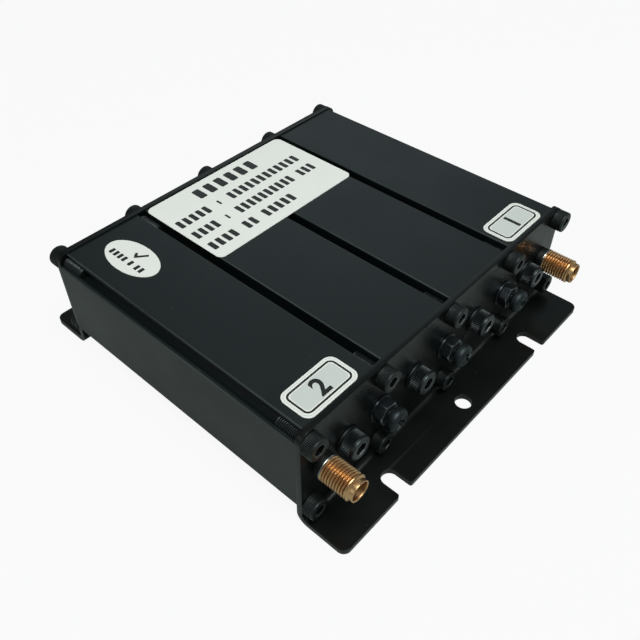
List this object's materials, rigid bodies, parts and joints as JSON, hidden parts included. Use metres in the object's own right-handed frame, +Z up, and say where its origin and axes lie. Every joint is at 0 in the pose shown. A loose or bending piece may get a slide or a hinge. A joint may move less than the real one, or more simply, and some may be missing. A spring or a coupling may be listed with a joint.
{
  "type": "rf cavity filter",
  "caption": "Low black cavity filter box with finned screw channels on top, bent end plates with fixing flanges, knurled screws and threaded coaxial ports on one end.",
  "frame": {"origin": "middle of the rectangle that the object covers, on the underside of its two flanges", "axes": "+X across the cavities towards the input port, +Y along the cavities from the port end to the far end, +Z up"},
  "size_m": [0.1012, 0.1054, 0.0304],
  "materials": {
    "extrusion_black": "matt black anodised extrusion",
    "plate_black": "semi-gloss black coated sheet",
    "screw_black": "black oxide",
    "nut_black": "dark zinc",
    "coupling_steel": "dark plated",
    "tuning_steel": "bright plated",
    "washer_steel": "nickel plated",
    "gold_plate": "gold plated",
    "insulator_white": "turned",
    "copper_wire": "bare copper",
    "rod_silver": "silver plated",
    "label_film": "printed film"
  },
  "bodies": {
    "root": {"cavity_body": "extrusion_black", "connector_spacers": "washer_steel", "coupling_lock_nut_1": "nut_black", "coupling_lock_nut_2": "nut_black", "coupling_lock_nut_3": "nut_black", "coupling_washers": "nut_black", "front_bottom_screws": "screw_black", "front_end_plate": "plate_black", "front_top_screws": "screw_black", "input_connector_body": "gold_plate", "input_contact": "gold_plate", "input_insulator": "insulator_white", "input_label": "label_film", "input_tap_wire": "copper_wire", "inspection_sticker": "label_film", "main_label": "label_film", "output_connector_body": "gold_plate", "output_contact": "gold_plate", "output_insulator": "insulator_white", "output_label": "label_film", "output_tap_wire": "copper_wire", "rear_bottom_screws": "screw_black", "rear_end_plate": "plate_black", "rear_top_screws": "screw_black", "resonator_rod_1": "rod_silver", "resonator_rod_2": "rod_silver", "resonator_rod_3": "rod_silver", "resonator_rod_4": "rod_silver", "resonator_screws": "screw_black", "resonator_washers": "washer_steel", "tuning_lock_nut_1": "nut_black", "tuning_lock_nut_2": "nut_black", "tuning_lock_nut_3": "nut_black", "tuning_lock_nut_4": "nut_black"},
    "coupling_screw_1": {"coupling_screw_1": "coupling_steel"},
    "coupling_screw_2": {"coupling_screw_2": "coupling_steel"},
    "coupling_screw_3": {"coupling_screw_3": "coupling_steel"},
    "tuning_screw_1": {"tuning_screw_1": "tuning_steel"},
    "tuning_screw_2": {"tuning_screw_2": "tuning_steel"},
    "tuning_screw_3": {"tuning_screw_3": "tuning_steel"},
    "tuning_screw_4": {"tuning_screw_4": "tuning_steel"}
  },
  "joints": [
    {"name": "coupling_screw_1_travel", "type": "slide", "parent": "root", "child": "coupling_screw_1", "axis": [0, -1, 0], "range_m": [-0.0009, 0.006]},
    {"name": "coupling_screw_2_travel", "type": "slide", "parent": "root", "child": "coupling_screw_2", "axis": [0, -1, 0], "range_m": [-0.0009, 0.006]},
    {"name": "coupling_screw_3_travel", "type": "slide", "parent": "root", "child": "coupling_screw_3", "axis": [0, -1, 0], "range_m": [-0.0009, 0.006]},
    {"name": "tuning_screw_1_travel", "type": "slide", "parent": "root", "child": "tuning_screw_1", "axis": [0, 1, 0], "range_m": [-0.004, 0.006]},
    {"name": "tuning_screw_2_travel", "type": "slide", "parent": "root", "child": "tuning_screw_2", "axis": [0, 1, 0], "range_m": [-0.004, 0.006]},
    {"name": "tuning_screw_3_travel", "type": "slide", "parent": "root", "child": "tuning_screw_3", "axis": [0, 1, 0], "range_m": [-0.004, 0.006]},
    {"name": "tuning_screw_4_travel", "type": "slide", "parent": "root", "child": "tuning_screw_4", "axis": [0, 1, 0], "range_m": [-0.004, 0.006]}
  ]
}
